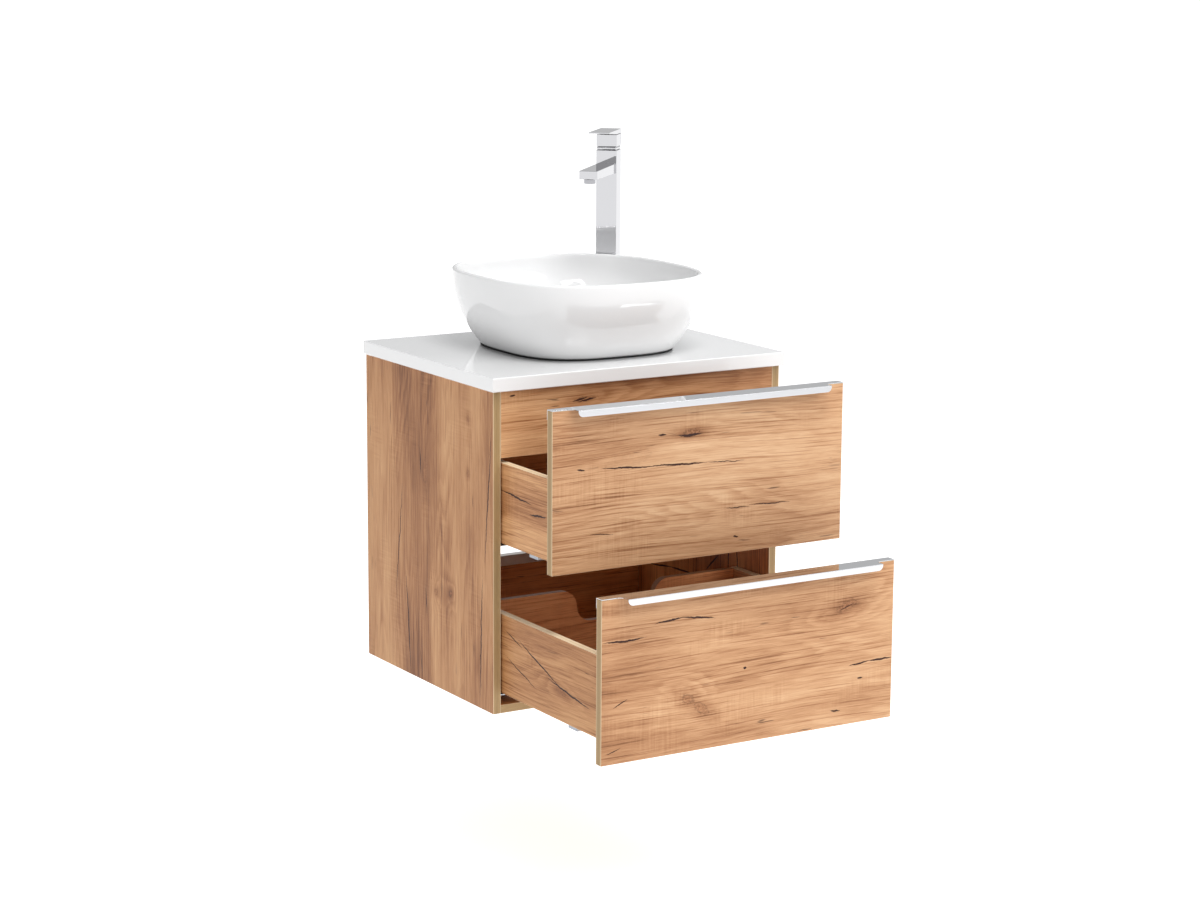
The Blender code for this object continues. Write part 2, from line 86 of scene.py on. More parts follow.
# ------------------------------------------------------------------ node helpers
class Nodes:
    """A material's node tree, with short calls that make and link nodes."""

    def __init__(self, name, tree_of=None):
        self.material = tree_of or bpy.data.materials.new(name)
        self.material.use_nodes = True
        self.tree = self.material.node_tree
        self.tree.nodes.clear()
        self.links = self.tree.links

    def node(self, kind, **settings):
        made = self.tree.nodes.new(kind)
        for key, value in settings.items():
            setattr(made, key, value)
        return made

    def feed(self, socket, value):
        if isinstance(value, bpy.types.NodeSocket):
            self.links.new(value, socket)
        elif value is not None:
            socket.default_value = value

    def math(self, operation, a, b=None, c=None, clamp=False):
        made = self.node("ShaderNodeMath", operation=operation, use_clamp=clamp)
        for socket, value in zip(made.inputs, (a, b, c)):
            self.feed(socket, value)
        return made.outputs[0]

    def add(self, a, b):
        return self.math("ADD", a, b)

    def mul(self, a, b, clamp=False):
        return self.math("MULTIPLY", a, b, clamp=clamp)

    def top(self, a, b):
        return self.math("MAXIMUM", a, b)

    def combine(self, x, y, z):
        made = self.node("ShaderNodeCombineXYZ")
        for socket, value in zip(made.inputs, (x, y, z)):
            self.feed(socket, value)
        return made.outputs[0]

    def split(self, vector):
        made = self.node("ShaderNodeSeparateXYZ")
        self.feed(made.inputs[0], vector)
        return made.outputs

    def ramp_range(self, value, a, b, to_a=0.0, to_b=1.0, smooth=True):
        made = self.node("ShaderNodeMapRange", interpolation_type="SMOOTHSTEP" if smooth else "LINEAR")
        self.feed(made.inputs["Value"], value)
        for socket, number in zip(made.inputs[1:5], (a, b, to_a, to_b)):
            socket.default_value = number
        return made.outputs[0]

    def noise(self, vector, scale, detail=2.0, rough=0.5, distortion=0.0):
        made = self.node("ShaderNodeTexNoise")
        self.feed(made.inputs["Vector"], vector)
        made.inputs["Scale"].default_value = scale
        made.inputs["Detail"].default_value = detail
        made.inputs["Roughness"].default_value = rough
        made.inputs["Distortion"].default_value = distortion
        return made.outputs[0]

    def mix(self, factor, a, b, blend="MIX"):
        made = self.node("ShaderNodeMix", data_type="RGBA", blend_type=blend)
        self.feed(made.inputs["Factor"], factor)
        self.feed(made.inputs[6], a)
        self.feed(made.inputs[7], b)
        return made.outputs[2]

    def ramp(self, factor, stops):
        made = self.node("ShaderNodeValToRGB")
        self.feed(made.inputs[0], factor)
        elements = made.color_ramp.elements
        while len(elements) < len(stops):
            elements.new(0.5)
        for element, (at, colour) in zip(elements, stops):
            element.position = at
            element.color = colour
        return made.outputs[0]

    def bump(self, height, strength, distance):
        made = self.node("ShaderNodeBump")
        made.inputs["Strength"].default_value = strength
        made.inputs["Distance"].default_value = distance
        self.feed(made.inputs["Height"], height)
        return made.outputs[0]

    def principled(self, **sockets):
        shader = self.node("ShaderNodeBsdfPrincipled")
        for key, value in sockets.items():
            self.feed(shader.inputs[key.replace("_", " ")], value)
        out = self.node("ShaderNodeOutputMaterial")
        self.links.new(shader.outputs[0], out.inputs[0])
        return shader

    def local(self, vector, x, y, size_x, size_y, angle):
        """The vector seen from an ellipse at x, y, turned by angle, in units of its half sizes."""
        made = self.node("ShaderNodeMapping", vector_type="TEXTURE")
        self.feed(made.inputs[0], vector)
        made.inputs[1].default_value = (x, y, 0)
        made.inputs[2].default_value = (0, 0, angle)
        made.inputs[3].default_value = (size_x, size_y, 1)
        return made.outputs[0]

    def coords(self):
        return self.node("ShaderNodeTexCoord")


AXES = {"X": 0, "Y": 1, "Z": 2}


def crack(u0, v0, u1, v1, width):
    """A crack from one point to the other, as (u, v, half length, half width, angle)."""
    length = math.hypot(u1 - u0, v1 - v0)
    return ((u0 + u1) / 2, (v0 + v1) / 2, length / 2, width * 0.5, math.atan2(v1 - v0, u1 - u0))


LIGHT, MID, DEEP, DARK = srgb(216, 178, 140), srgb(194, 150, 111), srgb(163, 116, 79), srgb(116, 73, 43)
PAINTED_INSIDE_SHADE = (1.02, 0.72, 0.44)  # painted shade: the print is made deeper and redder on the faces shut inside the cabinet


def oak(
    name, grain, face, seed=0.0, cracks=(), knots=(), bands=(), contrast=1.0, tone=(1, 1, 1), inside_shade=None, checks=1.0,
    slab=None, edging=None, painted_light_drift=0.0,
):
    """Oak decor. grain is the axis it runs along and face the axis its wide faces look along. cracks are from crack(),
    knots (u, v, half length, half width, angle, strength) and bands (v, half width, strength), u along the grain and v
    across. tone scales the print, and inner = (side, colour) is painted shade: it scales the print on the faces that
    look to that side of the face axis. slab is where the board starts and ends along that axis, which places the
    painted highlights at the edge band's arrises and its darker middle line, edging is the two tones of the edge band,
    and drift is painted light: how much deeper the print gets per metre along u."""
    n = Nodes(name)
    texture = n.coords()
    at = n.split(texture.outputs["Object"])
    gi, fi = AXES[grain], AXES[face]
    vi = 3 - gi - fi
    u, v, w = at[gi], at[vi], at[fi]
    shift = n.add(n.mul(w, 0.6), seed)
    here = n.combine(u, v, shift)

    def field(su, sv, more, detail=2.0, rough=0.5, across=None):
        return n.noise(n.combine(n.mul(u, su), n.mul(across or v, sv), n.add(shift, more)), 1.0, detail, rough)

    # the board wanders a little across the grain
    v_in = n.add(v, n.mul(n.add(field(1.8, 6.0, 0.0, 1.0), -0.5), 0.034))
    rings = field(1.1, 7.0, 3.7, 2.0, 0.4, v_in)
    knot_mask, knot_halo, knot_line = None, None, None
    flat_here = n.combine(u, v, 0.0)
    for ku, kv, ka, kb, angle, strength in knots:
        du, dv, _ = n.split(n.local(flat_here, ku, kv, ka, kb, angle))
        plain = n.add(n.mul(du, du), n.mul(dv, dv))
        d = n.add(n.math("SQRT", plain), n.mul(n.add(n.noise(here, 85.0, 3.0, 0.65), -0.5), 1.3))
        rings = n.add(rings, n.mul(n.math("EXPONENT", n.mul(plain, -0.06)), 0.07))
        core = n.mul(n.ramp_range(d, 1.15, 0.35), strength)
        edge = n.mul(n.mul(n.ramp_range(d, 0.50, 0.85), n.ramp_range(d, 1.20, 0.90)), strength * 0.8)
        halo = n.mul(n.ramp_range(d, 3.4, 0.8), 0.42 * strength)
        knot_mask = core if knot_mask is None else n.top(knot_mask, core)
        knot_line = edge if knot_line is None else n.top(knot_line, edge)
        knot_halo = halo if knot_halo is None else n.top(knot_halo, halo)
    saw = n.math("FRACT", n.add(n.mul(rings, 27.0), n.mul(field(6.0, 150.0, 5.5, 2.0), 1.1)))
    ring_line = n.mul(n.ramp_range(saw, 0.10, 0.80), n.ramp_range(saw, 1.0, 0.84))
    ring_gate = n.ramp_range(field(2.6, 9.0, 9.0, 2.0), 0.36, 0.64)
    broad = field(2.0, 13.0, 1.3, 3.0, 0.55, v_in)
    patch = field(4.0, 9.0, 6.1, 2.0, 0.5)
    streak = field(2.4, 120.0, 0.0, 3.0, 0.6, v_in)
    line = field(5.5, 360.0, 2.0, 3.0, 0.62, v_in)
    fibre = field(34.0, 900.0, 4.0, 3.0, 0.6, v_in)
    saws = field(260.0, 14.0, 8.0, 1.0, 0.5)
    saw_gate = n.ramp_range(field(7.0, 12.0, 12.0, 1.0), 0.52, 0.66)

    value = n.mul(n.add(broad, -0.5), 1.10 * contrast)
    value = n.add(value, n.mul(n.add(patch, -0.5), 0.60 * contrast))
    value = n.add(value, n.mul(n.add(streak, -0.5), 0.55 * contrast))
    value = n.add(value, n.mul(n.ramp_range(line, 0.50, 0.72), 0.40 * contrast))
    value = n.add(value, n.mul(n.mul(ring_line, ring_gate), 0.18 * contrast))
    value = n.add(value, n.mul(n.add(fibre, -0.5), 0.62))
    # painted light: the print's tone shifts steadily along u
    if painted_light_drift:
        value = n.add(value, n.mul(u, painted_light_drift))
    for centre, half, strength in bands:
        far = n.mul(n.math("ABSOLUTE", n.add(v_in, -centre)), 1 / half)
        value = n.add(value, n.mul(n.ramp_range(far, 1.15, 0.75), strength))
    value = n.add(value, n.mul(n.mul(n.add(saws, -0.5), saw_gate), 0.28))
    if knot_halo is not None:
        value = n.add(value, knot_halo)
    value = n.add(value, 0.37)
    colour = n.ramp(value, [(0.0, LIGHT), (0.34, MID), (0.66, DEEP), (1.0, DARK)])

    # cracks: slim lenses with ragged sides
    wobble = n.mul(n.add(n.noise(n.combine(n.mul(u, 26.0), n.mul(v, 12.0), seed), 1.0, 4.0, 0.62), -0.5), 0.0095)
    ragged = n.noise(n.combine(n.mul(u, 170.0), n.mul(v, 700.0), seed), 1.0, 2.0, 0.6)
    crack_mask = None
    bent = n.combine(n.add(u, n.mul(wobble, 0.6)), n.add(v, wobble), 0.0)
    for cu, cv, ca, cb, angle in cracks:
        x, y, _ = n.split(n.local(bent, cu, cv, ca, cb, angle))
        inside = n.math("SUBTRACT", n.math("SUBTRACT", 1.0, n.mul(x, x)), n.math("ABSOLUTE", y))
        mask = n.ramp_range(n.add(inside, n.mul(n.add(ragged, -0.36), 0.9)), 0.0, 0.30)
        crack_mask = mask if crack_mask is None else n.top(crack_mask, mask)
    # short checks scattered over the board
    specks = field(16.0, 190.0, 5.0, 2.0, 0.5, v_in)
    sparse = field(5.0, 14.0, 7.0, 1.0, 0.5)
    small = n.mul(n.mul(n.ramp_range(specks, 0.66, 0.73), n.ramp_range(sparse, 0.52, 0.64)), 0.75 * checks)
    crack_mask = small if crack_mask is None else n.top(crack_mask, small)
    if knot_mask is not None:
        knot_tone = n.mix(n.ramp_range(n.noise(here, 210.0, 3.0, 0.7), 0.40, 0.60), srgb(112, 66, 38), srgb(176, 124, 84))
        colour = n.mix(n.mul(knot_mask, 0.85), colour, knot_tone)
        colour = n.mix(n.mul(knot_line, n.ramp_range(ragged, 0.42, 0.60)), colour, srgb(66, 34, 18))
    colour = n.mix(crack_mask, colour, srgb(52, 23, 10))
    if tone != (1, 1, 1):
        colour = n.mix(1.0, colour, (*tone, 1), "MULTIPLY")

    # banded edges, with a painted highlight along each eased arris
    signed = n.split(texture.outputs["Normal"])[fi]
    normal = n.math("ABSOLUTE", signed)
    is_face = n.ramp_range(normal, 0.80, 0.86)
    is_edge = n.ramp_range(normal, 0.40, 0.34)
    flecks = n.noise(n.combine(*[n.mul(at[i], (40.0 if i == gi else 420.0)) for i in range(3)]), 1.0, 3.0, 0.6)
    dull, fair = edging or (srgb(150, 122, 84), srgb(180, 152, 110))
    band_tone = n.mix(flecks, dull, fair)
    # pale is the colour of the painted arris highlights
    pale = srgb(216, 192, 158)
    if slab:
        across = n.math("ABSOLUTE", n.mul(n.add(w, -(slab[0] + slab[1]) / 2), 2 / (slab[1] - slab[0])))
        band_tone = n.mix(n.mul(n.ramp_range(across, 0.74, 0.86), 0.75), band_tone, pale)
        band_tone = n.mix(n.mul(n.ramp_range(across, 0.30, 0.0), 0.22), band_tone, srgb(120, 96, 64))
    edged = n.mix(is_edge, pale, band_tone)
    # painted shade: the print is made deeper and redder on the faces that look to the given side
    if inside_shade:
        inside_shade_mask = n.ramp_range(n.mul(signed, inside_shade[0]), 0.5, 0.8)
        colour = n.mix(inside_shade_mask, colour, n.mix(1.0, colour, (*inside_shade[1], 1), "MULTIPLY"))
    colour = n.mix(is_face, edged, colour)
    rough = n.add(n.mul(fibre, 0.16), 0.42)
    height = n.add(n.mul(fibre, -0.5), n.mul(n.ramp_range(line, 0.5, 0.72), -0.5))
    height = n.add(height, n.mul(crack_mask, -1.6))
    n.principled(
        Base_Color=colour,
        Roughness=rough,
        Normal=n.bump(height, 0.35, 0.0004),
        IOR=1.48,
        Specular_IOR_Level=0.32,
    )
    return n.material


def gloss_white(name, tint, rough, peel, variation=0.015):
    n = Nodes(name)
    at = n.coords().outputs["Object"]
    cloud = n.noise(at, 9.0, 3.0, 0.5)
    fine = n.noise(at, 240.0, 2.0, 0.5)
    dark = tuple(c * (1 - variation * 2) for c in tint[:3]) + (1.0,)
    colour = n.mix(cloud, dark, tint)
    specks = n.ramp_range(n.noise(at, 1500.0, 0.0, 0.5), 0.80, 0.86)
    colour = n.mix(n.mul(specks, 0.10), colour, srgb(150, 150, 150))
    roughness = n.add(n.mul(cloud, rough * 0.5), rough * 0.75)
    waves = n.add(n.noise(at, 26.0, 1.0, 0.5), n.mul(fine, 0.10))
    n.principled(Specular_IOR_Level=0.36, 
        Base_Color=colour,
        Roughness=roughness,
        Normal=n.bump(waves, peel, 0.0008),
        IOR=1.50,
        Coat_Weight=0.6,
        Coat_Roughness=0.03,
        Coat_IOR=1.5,
    )
    return n.material


def metal(name, tint, rough, brushed=None, grime=0.02, scratch=0.08):
    n = Nodes(name)
    at = n.coords().outputs["Object"]
    parts = n.split(at)
    cloud = n.noise(at, 14.0, 3.0, 0.55)
    if brushed:
        stretch = [600.0, 600.0, 600.0]
        stretch[AXES[brushed]] = 12.0
        grain = n.noise(n.combine(*[n.mul(parts[i], stretch[i]) for i in range(3)]), 1.0, 2.0, 0.6)
    else:
        grain = n.noise(at, 500.0, 2.0, 0.5)
    darker = tuple(c * (1 - grime * 3) for c in tint[:3]) + (1.0,)
    colour = n.mix(cloud, darker, tint)
    roughness = n.add(n.add(n.mul(grain, rough * scratch * 4), n.mul(cloud, rough * 0.5)), rough * 0.6)
    n.principled(
        Base_Color=colour,
        Metallic=1.0,
        Roughness=roughness,
        Normal=n.bump(grain, scratch * 0.25, 0.0002),
    )
    return n.material


def plastic(name, tint, rough, spread=0.10):
    n = Nodes(name)
    at = n.coords().outputs["Object"]
    cloud = n.noise(at, 40.0, 3.0, 0.6)
    fine = n.noise(at, 900.0, 2.0, 0.5)
    darker = tuple(c * (1 - spread) for c in tint[:3]) + (1.0,)
    colour = n.mix(cloud, darker, tint)
    n.principled(
        Base_Color=colour,
        Roughness=n.add(n.mul(fine, 0.15), rough),
        Normal=n.bump(fine, 0.3, 0.0003),
        IOR=1.46,
    )
    return n.material


# ------------------------------------------------------------------ mesh helpers
def show(name, mesh, body, replaces=(), material=None, matrix=None, flat=True):
    if matrix is not None:
        mesh.transform(matrix)
    obj = bpy.data.objects.new(name, mesh)
    scene.collection.objects.link(obj)
    if material:
        mesh.materials.append(material)
    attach(obj, body)
    if replaces:
        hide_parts(*replaces)
    if flat:
        weigh = obj.modifiers.new("flat_faces", "WEIGHTED_NORMAL")
        weigh.keep_sharp = True
        weigh.weight = 100
    return obj


def bm_mesh(bm, name, smooth=True, angle=35):
    bmesh.ops.recalc_face_normals(bm, faces=bm.faces)
    if bm.calc_volume(signed=True) < 0:
        bmesh.ops.reverse_faces(bm, faces=bm.faces)
    mesh = bpy.data.meshes.new(name)
    bm.to_mesh(mesh)
    bm.free()
    if smooth:
        mesh.shade_smooth()
        mesh.set_sharp_from_angle(angle=math.radians(angle))
    return mesh


def prism(points, thickness, axis="X"):
    """A closed outline given the thickness, centred on the plane through the origin. axis is its direction."""
    bm = bmesh.new()
    place = {
        "X": lambda a, b, t: (t, a, b),
        "Y": lambda a, b, t: (a, t, b),
        "Z": lambda a, b, t: (a, b, t),
    }[axis]
    rows = [[bm.verts.new(place(a, b, side * thickness / 2)) for a, b in points] for side in (-1, 1)]
    bm.faces.new(rows[0])
    bm.faces.new(rows[1])
    for i in range(len(points)):
        j = (i + 1) % len(points)
        bm.faces.new((rows[0][i], rows[0][j], rows[1][j], rows[1][i]))
    bmesh.ops.recalc_face_normals(bm, faces=bm.faces)
    return bm


def soften(bm, width, segments=3, above=30.0):
    """Rounds every edge sharper than the angle."""
    edges = [e for e in bm.edges if e.is_manifold and e.calc_face_angle(0) > math.radians(above)]
    bmesh.ops.bevel(
        bm, geom=edges, offset=width, segments=segments, profile=0.5, affect="EDGES", clamp_overlap=True,
        harden_normals=False,
    )
    return bm


def box_bm(low, high):
    bm = bmesh.new()
    bmesh.ops.create_cube(bm, size=1.0)
    size = [b - a for a, b in zip(low, high)]
    middle = [(a + b) / 2 for a, b in zip(low, high)]
    bmesh.ops.scale(bm, vec=size, verts=bm.verts)
    bmesh.ops.translate(bm, vec=middle, verts=bm.verts)
    return bm


def spun(profile, steps=64, closed=False):
    """A (radius, height) profile turned about the Z axis."""
    bm = bmesh.new()
    rows = []
    for r, h in profile:
        if r < 1e-7:
            rows.append([bm.verts.new((0, 0, h))])
        else:
            rows.append(
                [
                    bm.verts.new((r * math.cos(2 * math.pi * i / steps), r * math.sin(2 * math.pi * i / steps), h))
                    for i in range(steps)
                ]
            )
    pairs = list(zip(rows, rows[1:]))
    if closed:
        pairs.append((rows[-1], rows[0]))
    for a, b in pairs:
        for i in range(steps):
            j = (i + 1) % steps
            loop = [a[0] if len(a) == 1 else a[i], b[0] if len(b) == 1 else b[i]]
            if len(b) > 1:
                loop.append(b[j])
            if len(a) > 1:
                loop.append(a[j])
            bm.faces.new(loop)
    return bm


def fillet(points, radius, steps=5, closed=True):
    """The outline with its corners rounded, as far as the edges next to each allow."""
    out = []
    count = len(points)
    for i, (x, y) in enumerate(points):
        if not closed and i in (0, count - 1):
            out.append((x, y))
            continue
        p, q, r = Vector(points[i - 1]), Vector((x, y)), Vector(points[(i + 1) % count])
        a, b = (p - q), (r - q)
        la, lb = a.length, b.length
        a.normalize()
        b.normalize()
        angle = a.angle(b)
        if angle > math.radians(170):
            out.append((x, y))
            continue
        cut = min(radius / math.tan(angle / 2), la * 0.45, lb * 0.45)
        rr = cut * math.tan(angle / 2)
        centre = q + (a + b).normalized() * (rr / math.sin(angle / 2))
        start, end = q + a * cut, q + b * cut
        sa = math.atan2(*(start - centre).yx)
        ea = math.atan2(*(end - centre).yx)
        sweep = (ea - sa + math.pi) % (2 * math.pi) - math.pi
        for k in range(steps + 1):
            t = sa + sweep * k / steps
            out.append((centre.x + rr * math.cos(t), centre.y + rr * math.sin(t)))
    return out


# ------------------------------------------------------------------ materials
CHROME = metal("chrome_polished", (0.60, 0.60, 0.615, 1), 0.035, grime=0.008, scratch=0.02)
PULL_CHROME = metal("chrome_extruded", (0.62, 0.625, 0.64, 1), 0.025, brushed="X", grime=0.01, scratch=0.012)
# painted shade: the outlet is a darker, duller copy of the chrome, standing in for dark reflections on it
AERATOR = metal("chrome_outlet", (0.42, 0.42, 0.44, 1), 0.09, grime=0.01, scratch=0.02)
ZINC = metal("zinc_plated", srgb(196, 198, 204), 0.28, brushed="Y", grime=0.05, scratch=0.2)
ZINC_X = metal("zinc_plated_rail", srgb(226, 222, 218), 0.40, brushed="X", grime=0.04, scratch=0.2)
BRASS = metal("brass_turned", srgb(214, 178, 104), 0.25, brushed="Z", grime=0.05, scratch=0.2)
CERAMIC = gloss_white("glazed_ceramic", (0.765, 0.765, 0.765, 1), 0.05, 0.03)
SLAB = gloss_white("gloss_slab", (0.80, 0.80, 0.80, 1), 0.05, 0.02)
RUBBER = plastic("seal_rubber", (0.012, 0.012, 0.012, 1), 0.6)
PIPE = plastic("pipe_plastic", srgb(232, 232, 230), 0.35, 0.05)
CLIP = plastic("clip_plastic", srgb(178, 184, 194), 0.4)

Z_BASE = -0.527


def span(node, axis):
    low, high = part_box(node)
    return low[AXES[axis]], high[AXES[axis]]


CREAM = (srgb(214, 186, 148), srgb(240, 220, 188))
FRONT_U = oak(
    "oak_front_upper",
    "X",
    "Y",
    seed=1.7,
    slab=span("drawer_front_upper", "Y"),
    # painted light: this front is lighter towards its right-hand end
    painted_light_drift=-0.34,
    cracks=(
        crack(-0.2050, -0.0585, -0.0900, -0.0660, 0.0034),
        crack(-0.1050, -0.0640, 0.0120, -0.0690, 0.0036),
        crack(0.0050, -0.0690, 0.0930, -0.0723, 0.0017),
        crack(-0.2520, -0.0560, -0.2340, -0.0590, 0.0034),
        crack(0.0480, -0.1535, 0.1050, -0.1560, 0.0020),
        crack(0.1000, -0.1530, 0.1900, -0.1565, 0.0022),
        crack(-0.0480, -0.0170, 0.0020, -0.0165, 0.0052),
        crack(-0.0900, -0.0118, -0.0720, -0.0122, 0.0036),
        crack(0.0670, -0.2075, 0.0800, -0.2085, 0.0036),
        crack(-0.2300, -0.1720, -0.1750, -0.1760, 0.0016),
    ),
    knots=((-0.0195, -0.0125, 0.0170, 0.0062, 0.0, 0.75), (-0.1450, -0.0450, 0.0400, 0.0170, 0.1, 0.12)),
)
FRONT_L = oak(
    "oak_front_lower",
    "X",
    "Y",
    seed=4.2,
    slab=span("drawer_front_lower", "Y"),
    # painted light: this front is lighter towards its right-hand end
    painted_light_drift=-0.34,
    tone=(0.98, 0.955, 0.93),
    cracks=(
        crack(-0.1980, -0.2960, -0.1350, -0.2900, 0.0036),
        crack(-0.1450, -0.2905, -0.0720, -0.2990, 0.0034),
        crack(-0.2960, -0.3160, -0.2140, -0.3165, 0.0036),
        crack(0.2050, -0.4215, 0.2520, -0.4165, 0.0032),
        crack(0.2450, -0.4170, 0.2990, -0.4190, 0.0038),
        crack(-0.0170, -0.3955, -0.0090, -0.3950, 0.0044),
        crack(0.2240, -0.4450, 0.2370, -0.4450, 0.0034),
        crack(0.1680, -0.4960, 0.1890, -0.4985, 0.0032),
        crack(-0.2760, -0.4290, -0.2470, -0.4170, 0.0020),
        crack(-0.2900, -0.5080, -0.2600, -0.5000, 0.0018),
        crack(0.1830, -0.3190, 0.2150, -0.3085, 0.0020),
    ),
    knots=(
        (0.1990, -0.3130, 0.0250, 0.0085, 0.30, 0.62),
        (-0.1280, -0.4350, 0.0150, 0.0085, -0.45, 0.62),
        (-0.1000, -0.4545, 0.0190, 0.0080, -0.62, 0.58),
    ),
)
FASCIA = oak(
    "oak_fascia",
    "X",
    "Y",
    seed=7.9,
    cracks=(
        crack(-0.1400, 0.0205, -0.1080, 0.0262, 0.0034),
        crack(-0.1300, 0.0190, -0.0900, 0.0235, 0.0034),
        crack(-0.2680, 0.0405, -0.2560, 0.0408, 0.0034),
        crack(-0.1750, -0.0060, -0.1200, -0.0030, 0.0018),
    ),
    knots=((-0.1140, 0.0228, 0.0240, 0.0055, 0.12, 0.55),),
    tone=(1.02, 0.95, 0.86),
)
SIDE_L = oak(
    "oak_side_left",
    "Z",
    "X",
    seed=11.3,
    slab=span("side_panel_left", "X"),
    # painted shade on the face inside the cabinet
    inside_shade=(1, PAINTED_INSIDE_SHADE),
    bands=((-0.185, 0.075, 0.20), (-0.315, 0.050, -0.10), (-0.060, 0.045, -0.06), (-0.455, 0.020, -0.05)),
    cracks=(
        crack(-0.1700, -0.1440, -0.3980, -0.1145, 0.0024),
        crack(-0.3300, -0.1560, -0.5280, -0.1735, 0.0034),
        crack(-0.0150, -0.4800, -0.2600, -0.4540, 0.0032),
        crack(-0.2800, -0.4470, -0.5200, -0.4370, 0.0032),
        crack(-0.3400, -0.2330, -0.4000, -0.2370, 0.0024),
        crack(-0.0900, -0.2130, -0.1500, -0.2180, 0.0030),
        crack(-0.4700, -0.2100, -0.5260, -0.2200, 0.0018),
    ),
    knots=(
        (-0.3410, -0.3300, 0.0070, 0.0050, 0.0, 0.75),
        (-0.3490, -0.2730, 0.0060, 0.0060, 0.0, 0.45),
        (-0.1080, -0.3948, 0.0060, 0.0040, 0.0, 0.45),
        (-0.1330, -0.2330, 0.0260, 0.0090, 0.0, 0.35),
        (-0.0100, -0.3950, 0.0060, 0.0040, 0.0, 0.45),
    ),
    tone=(0.90, 0.79, 0.65),
)
SIDE_R = oak(
    "oak_side_right",
    "Z",
    "X",
    seed=13.1,
    slab=span("side_panel_right", "X"),
    # painted shade on the face inside the cabinet
    inside_shade=(-1, PAINTED_INSIDE_SHADE),
    cracks=(
        # the first five are thin dark lines on the inner face, drawn with the crack shape
        crack(0.123 + Z_BASE, -0.075, 0.132 + Z_BASE, -0.155, 0.0036),
        crack(0.131 + Z_BASE, -0.145, 0.135 + Z_BASE, -0.222, 0.0040),
        crack(0.150 + Z_BASE, -0.274, 0.188 + Z_BASE, -0.318, 0.0040),
        crack(0.215 + Z_BASE, -0.379, 0.165 + Z_BASE, -0.381, 0.0034),
        crack(0.176 + Z_BASE, -0.380, 0.168 + Z_BASE, -0.440, 0.0036),
        crack(0.520 + Z_BASE, -0.120, 0.300 + Z_BASE, -0.150, 0.0030),
        crack(0.330 + Z_BASE, -0.360, 0.090 + Z_BASE, -0.345, 0.0032),
    ),
    bands=((-0.300, 0.080, 0.14), (-0.130, 0.050, -0.08)),
)
# painted shade: the cross boards and the bottom get a deeper, redder print on their faces inside the cabinet
BOARD_X = oak("oak_cross_board", "X", "Y", seed=17.0, contrast=1.3, inside_shade=(-1, (0.96, 0.66, 0.40)))
BOTTOM = oak("oak_bottom", "X", "Z", seed=19.0, inside_shade=(1, (0.98, 0.74, 0.50)))
SIDE_UL = oak(
    "oak_drawer_side_upper_left",
    "Y",
    "X",
    seed=23.0,
    contrast=0.9,
    tone=(1.12, 1.03, 0.88),
    slab=span("drawer_side_upper_left", "X"),
    edging=CREAM,
    cracks=(
        crack(-0.4800, -0.1225, -0.5900, -0.1320, 0.0036),
        crack(-0.5800, -0.1500, -0.6420, -0.1450, 0.0040),
    ),
)
SIDE_LL = oak(
    "oak_drawer_side_lower_left",
    "Y",
    "X",
    seed=25.0,
    contrast=0.95,
    tone=(0.92, 0.80, 0.63),
    slab=span("drawer_side_lower_left", "X"),
    edging=CREAM,
    cracks=(
        crack(-0.4950, -0.3720, -0.5600, -0.3950, 0.0022),
        crack(-0.5400, -0.3800, -0.6900, -0.4330, 0.0030),
        crack(-0.6400, -0.4240, -0.7900, -0.4480, 0.0034),
        crack(-0.5000, -0.4200, -0.6100, -0.4560, 0.0020),
    ),
    knots=((-0.6900, -0.4380, 0.0200, 0.0050, 0.25, 0.4),),
)
DRAWER_SIDE = oak("oak_drawer_side", "Y", "X", seed=27.0, contrast=0.8, edging=CREAM)
BACK_L = oak(
    "oak_drawer_back",
    "X",
    "Y",
    seed=29.0,
    contrast=0.9,
    tone=(1.50, 1.28, 1.10),
    edging=(srgb(152, 108, 70), srgb(184, 138, 94)),
)
# painted shade: the upper drawer's back is printed deeper and redder, for the shade it sits in
BACK_U = oak("oak_drawer_back_upper", "X", "Y", seed=30.0, tone=(1.04, 0.84, 0.66))
DRAWER_FLOOR = oak("oak_drawer_floor", "X", "Z", seed=31.0, contrast=0.7, checks=0.4)

look = {
    "back_panel_low": BOARD_X,
    "hanging_rail": BOARD_X,
    "front_fascia": FASCIA,
    "bottom_panel": BOTTOM,
    "side_panel_left": SIDE_L,
    "side_panel_right": SIDE_R,
    "drawer_front_upper": FRONT_U,
    "drawer_front_lower": FRONT_L,
    "countertop": SLAB,
    "rear_tie_angle": ZINC_X,
}
for level in ("upper", "lower"):
    look[f"drawer_back_{level}"] = BACK_U if level == "upper" else BACK_L
    look[f"drawer_bottom_{level}"] = DRAWER_FLOOR
    for side in ("left", "right"):
        look[f"drawer_side_{level}_{side}"] = DRAWER_SIDE
        look[f"runner_clip_{level}_{side}"] = CLIP
        for name in ("drawer", "fixed", "middle"):
            look[f"runner_{name}_{level}_{side}"] = ZINC
for side in ("left", "right"):
    look[f"wall_hanger_{side}"] = ZINC
for name, node in nodes.items():
    if name.startswith("tap_"):
        look.setdefault(name, CHROME)
    if name.startswith("waste_"):
        look.setdefault(name, CHROME)
look["drawer_side_upper_left"], look["drawer_side_lower_left"] = SIDE_UL, SIDE_LL
look["tap_shank"] = look["tap_nut"] = look["waste_nut"] = BRASS
look["waste_tail"] = PIPE
look["basin"] = CERAMIC
look["edge_pull_upper"] = look["edge_pull_lower"] = PULL_CHROME
for name, material in look.items():
    mesh = nodes[name].data
    mesh.materials.clear()
    mesh.materials.append(material)

